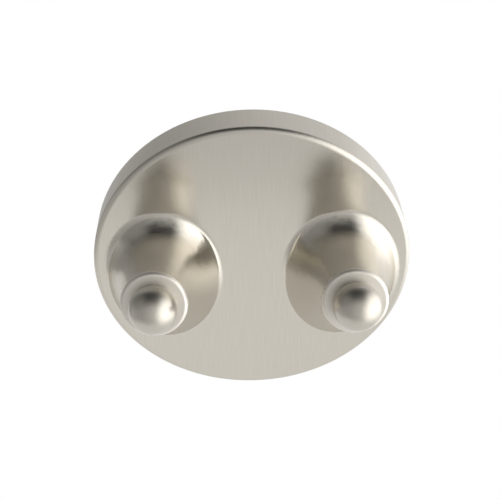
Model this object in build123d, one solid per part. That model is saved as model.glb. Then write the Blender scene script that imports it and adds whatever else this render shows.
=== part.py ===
from build123d import *
from math import radians, tan
import os

# Round wall plate: a shallow die-cast cup whose front face carries the two posts.
plate_diameter = 76.0
plate_depth = 9.0
face_wall = 2.6
rim_wall = 2.6
front_edge_width = 1.2
front_edge_drop = 1.3
cup_corner_chamfer = 1.0

# Foot of each post: an oval on the plate's face near its edge, with a blend around it.
foot_edge_margin = 2.8
foot_half_width = 13.9
foot_top_y = 16.9
foot_bottom_y = -21.3
foot_sink = 0.5
foot_blend_radius = 2.0

# Trunk of each post: it narrows from the foot to a round neck along an axis that leans upwards.
# Its upper side hollows out quickly, its under side runs down to the plate like a brace.
trunk_lean = 12.0
post_lean = 20.0
neck_shift_x = 0.4
neck_offset_y = 8.2
neck_rise = 22.1
neck_radius = 6.6
flare_power_above = 4.0
flare_power_side = 1.8
flare_power_below = 1.5
flare_sections = 8

# Collar on the neck and the ball on the collar's front.
collar_radius = 7.35
collar_thickness = 2.2
collar_edge_width = 0.8
ball_radius = 5.2
ball_seat = 2.1

# Hollow cast into the root of each post from behind.
core_mouth_half_width = 8.2
core_mouth_half_height = 12.0
core_end_radius = 3.6
core_rise = 12.0

# Wall bracket: a round plate with an edge that widens away from the wall.
bracket_thickness = 4.0
bracket_rim_gap = 5.4
bracket_bevel = 2.0
bracket_corner_chamfer = 0.4
screw_spacing = 32.0
screw_hole_diameter = 4.6
screw_head_diameter = 8.6

# Lugs inside the rim that hang on the bracket's edge, and the boss for the set screw.
lug_clearance = 0.15
lug_angle = 35.0
lug_width = 12.0
lug_wall_gap = 0.6
boss_width = 10.0
boss_clearance = 0.6

# Set screw: M4, hexagon socket, cone point, in the lower rim.
set_screw_diameter = 4.0
set_screw_length = 8.0
set_screw_height = 3.0
point_length = 1.2
point_radius = 0.6
socket_width = 2.0
socket_depth = 2.6
bearing_gap = 0.05
thread_gap = 0.05

plate_radius = plate_diameter / 2
cup_radius = plate_radius - rim_wall
cup_depth = plate_depth - face_wall
foot_offset_x = plate_radius - foot_edge_margin - foot_half_width
neck_offset_x = foot_offset_x + neck_shift_x
bracket_front_radius = cup_radius - bracket_rim_gap
bracket_back_radius = bracket_front_radius - bracket_bevel


def trunk_section(rise, height):
    """Oval section of the trunk at a share of its rise, its middle at the given height."""
    left = 1 - rise
    axis_drop = neck_rise * tan(radians(trunk_lean))
    axis_foot_y = neck_offset_y - axis_drop
    axis_y = neck_offset_y - axis_drop * left
    above = neck_radius + (foot_top_y - axis_foot_y - neck_radius) * left**flare_power_above
    below = neck_radius + (axis_foot_y - foot_bottom_y - neck_radius) * left**flare_power_below
    half_width = neck_radius + (foot_half_width - neck_radius) * left**flare_power_side
    centre_x = neck_offset_x - neck_shift_x * left
    centre_y = axis_y + (above - below) / 2
    tilt = Rot(X=-post_lean * rise)
    return Pos(centre_x, centre_y, height) * tilt * Ellipse(half_width, (above + below) / 2)


def post_trunk():
    """Trunk that narrows from the oval foot on the plate to the round neck."""
    rings = []
    for step in range(flare_sections):
        rise = step / (flare_sections - 1)
        rings.append(trunk_section(rise, plate_depth - foot_sink + (neck_rise + foot_sink) * rise))
    return loft(rings)


def post_end():
    """Flat collar with a rounded edge and the ball that stands on its front."""
    half = collar_thickness / 2
    flat = collar_radius - collar_edge_width
    outline = EllipticalCenterArc((flat, half), collar_edge_width, half, start_angle=-90, arc_size=180)
    outline = outline + Polyline((flat, 2 * half), (0, 2 * half), (0, 0), (flat, 0))
    collar = revolve(Plane.XZ * make_face(outline), Axis.Z)
    ball = Pos(0, 0, collar_thickness + ball_radius - ball_seat) * Sphere(ball_radius)
    neck = Pos(neck_offset_x, neck_offset_y, plate_depth + neck_rise)
    return neck * Rot(X=-post_lean) * (collar + ball)


def post_core():
    """Tapered hollow that keeps the root of the post from being a solid lump."""
    foot_middle_y = (foot_top_y + foot_bottom_y) / 2
    mouth = Pos(foot_offset_x, foot_middle_y, cup_depth)
    mouth = mouth * Ellipse(core_mouth_half_width, core_mouth_half_height)
    end = Pos(trunk_section(core_rise / neck_rise, plate_depth + core_rise).center())
    end = end * Ellipse(core_end_radius, core_end_radius)
    return loft([mouth, end])


# Hook body: plate and posts in one casting, drawn with the wall at z = 0 and the front along +z.
plate_flat = plate_radius - front_edge_width
rim_top = plate_depth - front_edge_drop
plate_outline = EllipticalCenterArc(
    (plate_flat, rim_top), front_edge_width, front_edge_drop, start_angle=0, arc_size=90
)
plate_outline = plate_outline + Polyline(
    (plate_flat, plate_depth),
    (0, plate_depth),
    (0, 0),
    (plate_radius, 0),
    (plate_radius, rim_top),
)
plate = revolve(Plane.XZ * make_face(plate_outline), Axis.Z)
post = post_trunk() + post_end()
body = plate + [post, mirror(post, about=Plane.YZ)]
front = body.faces().filter_by(Axis.Z).sort_by(SortBy.AREA)[-2]
body = fillet([edge for loop in front.inner_wires() for edge in loop.edges()], foot_blend_radius)

cup = Pos(0, 0, cup_depth / 2) * Cylinder(cup_radius, cup_depth)
cup = chamfer(cup.edges().group_by(Axis.Z)[-1], cup_corner_chamfer)
core = post_core()
body = body - [cup, core, mirror(core, about=Plane.YZ)]

# Two lugs inside the upper rim, undercut to hang on the bracket's sloping edge.
bracket_slope = bracket_bevel / bracket_thickness
lug_step = bracket_thickness + lug_clearance
undercut_back = bracket_back_radius + bracket_slope * lug_wall_gap + lug_clearance
undercut_front = bracket_back_radius + bracket_slope * lug_step + lug_clearance
lug_outer = cup_radius + rim_wall / 2
lug_top = cup_depth + face_wall / 2
lug_outline = Polyline(
    (undercut_back, 0, lug_wall_gap),
    (lug_outer, 0, lug_wall_gap),
    (lug_outer, 0, lug_top),
    (undercut_front, 0, lug_top),
    (undercut_front, 0, lug_step),
    close=True,
)
lug_ring = revolve(make_face(lug_outline), Axis.Z)
lug_window = Pos(plate_radius, 0, plate_depth / 2) * Box(plate_radius, lug_width, 2 * plate_depth)
lugs = [lug_ring & (Rot(Z=90 + turn) * lug_window) for turn in (-lug_angle, lug_angle)]

# Boss behind the lower rim, tapped for the set screw.
boss_inner = bracket_front_radius + boss_clearance
boss_length = lug_outer - boss_inner
boss_height = lug_top - lug_wall_gap
boss = Pos(0, -boss_inner - boss_length / 2, lug_wall_gap + boss_height / 2)
boss = boss * Box(boss_width, boss_length, boss_height)
body = body + [*lugs, boss]
screw_line = Pos(0, 0, set_screw_height) * Rot(X=90)
tapping = Pos(0, 0, plate_radius) * Cylinder(set_screw_diameter / 2 + thread_gap, plate_radius / 2)
body = body - screw_line * tapping

# Wall bracket: a turned plate with two countersunk screw holes on the horizontal line.
bracket = Cone(bracket_back_radius, bracket_front_radius, bracket_thickness)
bracket = chamfer(bracket.edges().filter_by(GeomType.CIRCLE), bracket_corner_chamfer)
bracket = Pos(0, 0, bracket_thickness / 2) * bracket
drill = Cylinder(screw_hole_diameter / 2, 3 * bracket_thickness)
sink_depth = (screw_head_diameter - screw_hole_diameter) / 2
sink = Cone(screw_hole_diameter / 2, screw_head_diameter / 2, sink_depth)
sink = Pos(0, 0, bracket_thickness - sink_depth / 2) * sink
for place in (-screw_spacing / 2, screw_spacing / 2):
    bracket = bracket - [Pos(place, 0, 0) * drill, Pos(place, 0, 0) * sink]

# Set screw: its cone point bears on the bracket's sloping edge, its socket opens downwards.
point_front = set_screw_height + point_radius
bearing = bracket_back_radius + bracket_slope * point_front + bearing_gap
shank_length = set_screw_length - point_length
shank = Pos(0, 0, shank_length / 2) * Cylinder(set_screw_diameter / 2, shank_length)
point = Cone(point_radius, set_screw_diameter / 2, point_length)
socket = Pos(0, 0, shank_length - socket_depth) * extrude(
    RegularPolygon(socket_width / 2, 6, major_radius=False), amount=socket_depth
)
set_screw = Pos(0, 0, point_length) * (shank - socket) + Pos(0, 0, point_length / 2) * point
set_screw = screw_line * Pos(0, 0, bearing) * set_screw

os.makedirs("parts", exist_ok=True)
stand_up = Rot(X=90)
export_step(stand_up * body, "parts/hook_body.step")
export_step(stand_up * bracket, "parts/wall_bracket.step")
export_step(stand_up * set_screw, "parts/set_screw.step")
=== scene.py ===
import math

import bmesh
import bpy
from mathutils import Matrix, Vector


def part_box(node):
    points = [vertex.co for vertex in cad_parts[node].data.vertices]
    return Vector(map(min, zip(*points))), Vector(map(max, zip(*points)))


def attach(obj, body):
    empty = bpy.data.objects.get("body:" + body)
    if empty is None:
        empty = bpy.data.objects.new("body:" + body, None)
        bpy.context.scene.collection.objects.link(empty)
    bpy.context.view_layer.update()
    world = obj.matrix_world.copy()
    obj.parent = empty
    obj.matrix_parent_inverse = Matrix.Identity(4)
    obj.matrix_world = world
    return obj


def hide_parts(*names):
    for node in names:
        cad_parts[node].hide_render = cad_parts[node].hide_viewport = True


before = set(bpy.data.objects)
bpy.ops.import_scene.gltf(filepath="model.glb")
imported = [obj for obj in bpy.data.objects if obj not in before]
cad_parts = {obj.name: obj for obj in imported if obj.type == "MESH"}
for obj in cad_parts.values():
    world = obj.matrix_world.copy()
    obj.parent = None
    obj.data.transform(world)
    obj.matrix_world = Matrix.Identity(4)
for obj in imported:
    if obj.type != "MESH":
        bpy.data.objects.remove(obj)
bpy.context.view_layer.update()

# Wall bracket: the round plate that is screwed to the wall first and then hidden.
# It is die-cast zinc, tumbled and left unplated, with two countersunk screw holes.
mm = 0.001


def linear(code):
    """Linear colour of an sRGB hex value."""
    parts = [int(code[place:place + 2], 16) / 255 for place in (0, 2, 4)]
    return [p / 12.92 if p <= 0.04045 else ((p + 0.055) / 1.055) ** 2.4 for p in parts] + [1.0]


def add_node(tree, kind, sockets=None, **settings):
    """Adds a node, sets its options, and fills or links its sockets."""
    node = tree.nodes.new(kind)
    for name, value in settings.items():
        setattr(node, name, value)
    for name, value in (sockets or {}).items():
        if isinstance(value, bpy.types.NodeSocket):
            tree.links.new(value, node.inputs[name])
        else:
            node.inputs[name].default_value = value
    return node


def new_material(name):
    """Empty material with its shader, ready for a finish."""
    material = bpy.data.materials.new(name)
    material.use_nodes = True
    return material, material.node_tree, material.node_tree.nodes["Principled BSDF"]


def dressed_copy(node, name, materials):
    """Merged and smooth-shaded piece of a solid's own form, which stands for it."""
    weld = 0.0005 * mm
    crease = math.radians(28)
    form = bmesh.new()
    form.from_mesh(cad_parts[node].data)
    bmesh.ops.remove_doubles(form, verts=form.verts, dist=weld)
    for face in form.faces:
        face.smooth = True
        face.material_index = 0
    for edge in form.edges:
        edge.smooth = len(edge.link_faces) == 2 and edge.calc_face_angle(0) < crease
    mesh = bpy.data.meshes.new(name)
    form.to_mesh(mesh)
    form.free()
    if "custom_normal" in mesh.attributes:
        mesh.attributes.remove(mesh.attributes["custom_normal"])
    for material in materials:
        mesh.materials.append(material)
    piece = bpy.data.objects.new(name, mesh)
    bpy.context.scene.collection.objects.link(piece)
    even = piece.modifiers.new("even shading", "WEIGHTED_NORMAL")
    even.keep_sharp = True
    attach(piece, "root")
    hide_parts(node)
    return piece


def cast_zinc(name, colour, grit):
    """Tumbled die-cast zinc: a dull grey metal with a soft pebbled skin."""
    material, tree, shader = new_material(name)
    place = add_node(tree, "ShaderNodeTexCoord").outputs["Object"]
    pebble = add_node(tree, "ShaderNodeTexNoise", {"Vector": place, "Scale": 1 / grit, "Detail": 4.0})
    cloud = add_node(tree, "ShaderNodeTexNoise", {"Vector": place, "Scale": 1 / (14 * grit), "Detail": 2.0})
    dull = add_node(tree, "ShaderNodeMapRange", {"Value": cloud.outputs["Fac"], "To Min": 0.42,
                                                 "To Max": 0.6})
    skin = add_node(tree, "ShaderNodeBump", {"Height": pebble.outputs["Fac"], "Strength": 0.35,
                                             "Distance": 0.05 * mm})
    tone = add_node(tree, "ShaderNodeMixRGB", {"Fac": cloud.outputs["Fac"], "Color1": linear(colour),
                                               "Color2": linear("a3a5a6")})
    shader.inputs["Metallic"].default_value = 1.0
    tree.links.new(tone.outputs["Color"], shader.inputs["Base Color"])
    tree.links.new(dull.outputs["Result"], shader.inputs["Roughness"])
    tree.links.new(skin.outputs["Normal"], shader.inputs["Normal"])
    return material


bracket = dressed_copy("wall_bracket", "bracket", [
    cast_zinc("tumbled zinc", "8f9193", 0.5 * mm),
])

# Hook body: plate and posts, die-cast in zinc as one piece and plated in satin nickel, with lugs
# behind its rim that hang on the bracket's edge. The face is brushed up and down, the rim from
# front to back and the posts round and round. Its front edge, the collars and the balls are satin.
# The collars' nickel is painted lighter than the plating, as painted light against the shade the
# balls cast on them, and the balls' nickel is painted darker, as painted shade that dims their highlights.
plate_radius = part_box("hook_body")[1].x
face_y = -9.0 * mm
face_slack = 0.02 * mm
rim_wall = 2.6 * mm
edge_width = 1.2 * mm
edge_drop = 1.3 * mm
post_foot = Vector((21.3 * mm, face_y, -2.2 * mm))
post_ball = Vector((21.7 * mm, -36.1 * mm, 10.0 * mm))
post_neck = Vector((21.7 * mm, -31.1 * mm, 8.2 * mm))
post_lean = math.radians(20)
post_girth = 9.0 * mm
collar_thickness = 2.2 * mm


def satin_nickel(name, least_blur, most_blur, spread, grain, dim, pale):
    """Brushed nickel plating: a warm grey metal whose fine scratches blur what it mirrors."""
    scratch_width = 0.25
    scratch_length = 9.0
    band_width = 1.6
    band_length = 30.0
    material, tree, shader = new_material(name)
    strokes = add_node(tree, "ShaderNodeUVMap", uv_map="strokes").outputs["UV"]
    scratch_scale = (1 / scratch_length, 1 / scratch_width, 1.0)
    fine = add_node(tree, "ShaderNodeVectorMath", {0: strokes, 1: scratch_scale}, operation="MULTIPLY")
    scratches = add_node(tree, "ShaderNodeTexNoise", {"Vector": fine.outputs["Vector"], "Scale": 1.0,
                                                      "Detail": 3.0, "Roughness": 0.6})
    band_scale = (1 / band_length, 1 / band_width, 1.0)
    broad = add_node(tree, "ShaderNodeVectorMath", {0: strokes, 1: band_scale}, operation="MULTIPLY")
    bands = add_node(tree, "ShaderNodeTexNoise", {"Vector": broad.outputs["Vector"], "Scale": 1.0,
                                                  "Detail": 2.0})
    blur = add_node(tree, "ShaderNodeMapRange", {"Value": bands.outputs["Fac"], "To Min": least_blur,
                                                 "To Max": most_blur})
    groove = add_node(tree, "ShaderNodeBump", {"Height": scratches.outputs["Fac"], "Strength": grain,
                                               "Distance": 0.05 * mm})
    tone = add_node(tree, "ShaderNodeMixRGB", {"Fac": scratches.outputs["Fac"], "Color1": linear(dim),
                                               "Color2": linear(pale)})
    along = add_node(tree, "ShaderNodeTangent", direction_type="UV_MAP", uv_map="strokes")
    quarter_turn = 0.25
    shader.inputs["Metallic"].default_value = 1.0
    shader.inputs["Anisotropic"].default_value = spread
    shader.inputs["Anisotropic Rotation"].default_value = quarter_turn
    tree.links.new(along.outputs["Tangent"], shader.inputs["Tangent"])
    tree.links.new(tone.outputs["Color"], shader.inputs["Base Color"])
    tree.links.new(blur.outputs["Result"], shader.inputs["Roughness"])
    tree.links.new(groove.outputs["Normal"], shader.inputs["Normal"])
    return material


def turn_about_post(point, foot, axis):
    """Angle of a point about a post's axis, from straight up."""
    arm = point - foot
    arm = arm - axis * arm.dot(axis)
    return math.atan2(arm.x, arm.dot(Vector((0, axis.z, -axis.y))))


def unwound(turn, near):
    """The same angle, within half a turn of the one it is compared with."""
    return near + (turn - near + math.pi) % (2 * math.pi) - math.pi


def brush_strokes(piece):
    """Sorts the faces by finish and lays the brushing on them, in millimetres along and across."""
    on_posts, on_face, on_rim, on_edge, on_collars, on_balls, at_back = range(7)
    form = bmesh.new()
    form.from_mesh(piece.data)
    strokes = form.loops.layers.uv.new("strokes")
    axis = (post_ball - post_foot).normalized()
    end_axis = Vector((0, -math.cos(post_lean), math.sin(post_lean)))
    for face in form.faces:
        middle = face.calc_center_median()
        from_centre = math.hypot(middle.x, middle.z)
        before_face = middle.y < face_y - face_slack
        level_face = abs(middle.y - face_y) <= face_slack
        outward = face.normal.x * middle.x + face.normal.z * middle.z
        faces_out = from_centre > plate_radius - rim_wall / 2 and outward > 0.02 * from_centre
        foot = Vector((math.copysign(post_foot.x, middle.x), post_foot.y, post_foot.z))
        past_neck = (middle - post_neck).dot(end_axis)
        if before_face and abs(past_neck - collar_thickness / 2) < collar_thickness / 2 + face_slack:
            face.material_index = on_collars
        elif before_face and past_neck > collar_thickness:
            face.material_index = on_balls
        elif before_face:
            face.material_index = on_posts
        elif level_face and from_centre < plate_radius - edge_width:
            face.material_index = on_face
        elif faces_out and middle.y < face_y + edge_drop:
            face.material_index = on_edge
        elif faces_out:
            face.material_index = on_rim
        else:
            face.material_index = at_back
        zone = face.material_index
        middle_turn = math.atan2(middle.x, middle.z)
        if before_face:
            middle_turn = turn_about_post(middle, foot, axis)
        for loop in face.loops:
            point = loop.vert.co
            if before_face:
                turn = unwound(turn_about_post(point, foot, axis), middle_turn)
                along, across = turn * post_girth, (point - foot).dot(axis)
            elif zone == on_rim:
                turn = unwound(math.atan2(point.x, point.z), middle_turn)
                along, across = point.y, turn * plate_radius
            else:
                along, across = point.z, point.x
            loop[strokes].uv = (along / mm, across / mm)
    form.to_mesh(piece.data)
    form.free()


body = dressed_copy("hook_body", "body", [
    satin_nickel("brushed posts", 0.17, 0.23, 0.2, 0.45, "c3beb3", "d0cbc1"),
    satin_nickel("brushed face", 0.18, 0.22, 0.3, 0.2, "c3beb3", "d0cbc1"),
    satin_nickel("brushed rim", 0.26, 0.34, 0.8, 0.3, "c3beb3", "d0cbc1"),
    satin_nickel("satin edge", 0.3, 0.34, 0.0, 0.1, "c3beb3", "d0cbc1"),
    # painted light: the collars get a lighter nickel tone than the plating has, against the balls' shade
    satin_nickel("satin collars with painted light", 0.5, 0.56, 0.0, 0.1, "e0dbd1", "e8e3da"),
    # painted shade: the balls get a darker nickel tone than the plating has, which dims their highlights
    satin_nickel("satin balls with painted shade", 0.33, 0.37, 0.0, 0.3, "bdb8ad", "c9c4ba"),
    cast_zinc("plated casting", "9d9a94", 0.6 * mm),
])
brush_strokes(body)

# Set screw: the small grub screw in the lower rim that locks the body on the bracket.
# It is hardened steel with a black oxide skin and a hexagon socket.


def black_oxide(name):
    """Black oxide on steel: a thin dark skin with an oily half-gloss."""
    material, tree, shader = new_material(name)
    place = add_node(tree, "ShaderNodeTexCoord").outputs["Object"]
    cloud = add_node(tree, "ShaderNodeTexNoise", {"Vector": place, "Scale": 1 / (0.8 * mm), "Detail": 3.0})
    gloss = add_node(tree, "ShaderNodeMapRange", {"Value": cloud.outputs["Fac"], "To Min": 0.3,
                                                  "To Max": 0.45})
    tone = add_node(tree, "ShaderNodeMixRGB", {"Fac": cloud.outputs["Fac"], "Color1": linear("3a3a3c"),
                                               "Color2": linear("4a4846")})
    shader.inputs["Metallic"].default_value = 1.0
    tree.links.new(tone.outputs["Color"], shader.inputs["Base Color"])
    tree.links.new(gloss.outputs["Result"], shader.inputs["Roughness"])
    return material


screw = dressed_copy("set_screw", "grub_screw", [black_oxide("black oxide steel")])

# Studio: a plain pale floor well below the hook, a soft tent of light that is dark overhead, dim on
# the left and brightest on the right, and the camera, looking down on the hook as in the photograph.
scene = bpy.context.scene
scene.view_settings.view_transform = "Standard"

floor_drop = 0.3
floor_width = 0.7
floor_depth = 1.0
floor_shift = -0.15
form = bmesh.new()
bmesh.ops.create_grid(form, x_segments=1, y_segments=1, size=0.5)
bmesh.ops.scale(form, verts=form.verts, vec=(floor_width, floor_depth, 1.0))
bmesh.ops.translate(form, verts=form.verts, vec=(floor_shift, 0, -floor_drop))
mesh = bpy.data.meshes.new("floor")
form.to_mesh(mesh)
form.free()
floor = bpy.data.objects.new("floor", mesh)
scene.collection.objects.link(floor)
pale, tree, shader = new_material("pale paper")
rays = add_node(tree, "ShaderNodeLightPath")
seen = add_node(tree, "ShaderNodeMath", {0: rays.outputs["Is Camera Ray"],
                                         1: rays.outputs["Is Glossy Ray"]}, operation="MAXIMUM")
seen = add_node(tree, "ShaderNodeMath", {0: seen.outputs["Value"],
                                         1: rays.outputs["Is Transmission Ray"]}, operation="MAXIMUM")
white = add_node(tree, "ShaderNodeEmission", {"Color": linear("ffffff"), "Strength": 1.0})
shader.inputs["Base Color"].default_value = linear("f0f0ee")
shader.inputs["Roughness"].default_value = 0.9
shown = add_node(tree, "ShaderNodeMixShader", {"Fac": seen.outputs["Value"], 1: shader.outputs["BSDF"],
                                               2: white.outputs["Emission"]})
tree.links.new(shown.outputs["Shader"], tree.nodes["Material Output"].inputs["Surface"])
mesh.materials.append(pale)

world = bpy.data.worlds.new("studio")
scene.world = world
world.use_nodes = True
tree = world.node_tree
place = add_node(tree, "ShaderNodeTexCoord").outputs["Generated"]
aim = add_node(tree, "ShaderNodeSeparateXYZ", {0: place}).outputs
forward = add_node(tree, "ShaderNodeMath", {0: aim["Y"], 1: -1.0}, operation="MULTIPLY").outputs["Value"]
tilt = add_node(tree, "ShaderNodeMath", {0: aim["Z"], 1: forward}, operation="ARCTAN2").outputs["Value"]
share = add_node(tree, "ShaderNodeMapRange", {"Value": tilt, "From Min": -math.pi, "From Max": math.pi})
tent = add_node(tree, "ShaderNodeValToRGB", {"Fac": share.outputs["Result"]})
# Brightness of the tent by angle: 0 is straight ahead of the hook, 90 overhead, 180 behind it.
tent_steps = [
    (-180, 1.1), (-120, 1.1), (-90, 0.85), (-45, 0.95), (-37, 0.92), (-28, 0.74), (49, 0.7), (68, 0.34),
    (82, 0.1), (101, 0.04), (118, 0.03), (130, 0.06), (141, 0.42), (152, 0.8), (180, 0.9),
]
stops = tent.color_ramp.elements
while len(stops) < len(tent_steps):
    stops.new(0.5)
for stop, (angle, grey) in zip(stops, tent_steps):
    stop.position = (angle + 180) / 360
    stop.color = (grey, grey, grey, 1.0)
flank = add_node(tree, "ShaderNodeMath", {0: aim["X"]}, operation="ABSOLUTE").outputs["Value"]
beside = add_node(tree, "ShaderNodeMapRange", {"Value": flank, "From Min": 0.3, "From Max": 0.8},
                  interpolation_type="SMOOTHSTEP").outputs["Result"]
wings = add_node(tree, "ShaderNodeMixRGB", {"Fac": beside, "Color1": tent.outputs["Color"],
                                            "Color2": (0.5, 0.5, 0.5, 1.0)}, blend_type="LIGHTEN")
shade_strength = add_node(tree, "ShaderNodeMapRange", {"Value": aim["Y"], "From Min": 0.0,
                                                       "From Max": 0.6, "To Min": 0.5},
                          interpolation_type="SMOOTHSTEP").outputs["Result"]
shade = add_node(tree, "ShaderNodeMapRange", {"Value": aim["X"], "From Min": -0.7, "From Max": 0.1,
                                              "To Min": 0.3, "To Max": 1.0}).outputs["Result"]
sky = add_node(tree, "ShaderNodeMixRGB", {"Fac": shade_strength, "Color1": wings.outputs["Color"],
                                          "Color2": shade}, blend_type="MULTIPLY")
toward_lamp = add_node(tree, "ShaderNodeVectorMath", {0: place, 1: (0.96, -0.22, 0.0)},
                       operation="DOT_PRODUCT")
glow = add_node(tree, "ShaderNodeMapRange", {"Value": toward_lamp.outputs["Value"], "From Min": 0.42,
                                             "From Max": 0.9, "To Max": 1.7},
                interpolation_type="SMOOTHSTEP")
raised = add_node(tree, "ShaderNodeMapRange", {"Value": aim["Z"], "From Min": -1.0, "From Max": -0.1},
                  interpolation_type="SMOOTHSTEP").outputs["Result"]
sky = add_node(tree, "ShaderNodeMixRGB", {"Fac": raised, "Color1": sky.outputs["Color"],
                                          "Color2": glow.outputs["Result"]}, blend_type="ADD")
rays = add_node(tree, "ShaderNodeLightPath")
backdrop = add_node(tree, "ShaderNodeMixRGB", {"Fac": rays.outputs["Is Camera Ray"],
                                               "Color1": sky.outputs["Color"], "Color2": linear("ffffff")})
tree.links.new(backdrop.outputs["Color"], tree.nodes["Background"].inputs["Color"])

view_distance = 6 * plate_radius
view_drop = math.radians(37.4)
view_yaw = math.radians(-1.4)
picture = 500
plate_pixels = 157.7
camera = bpy.data.objects.new("camera", bpy.data.cameras.new("camera"))
scene.collection.objects.link(camera)
level_reach = view_distance * math.cos(view_drop)
camera.location = (level_reach * math.sin(view_yaw), face_y - level_reach * math.cos(view_yaw),
                   view_distance * math.sin(view_drop))
camera.rotation_euler = (math.radians(90) - view_drop, 0, view_yaw)
camera.data.sensor_width = 36
camera.data.lens = plate_pixels * view_distance / plate_radius * camera.data.sensor_width / picture
camera.data.shift_x = -2.2 / picture
camera.data.shift_y = 18.5 / picture
camera.data.clip_start = 0.01
scene.camera = camera
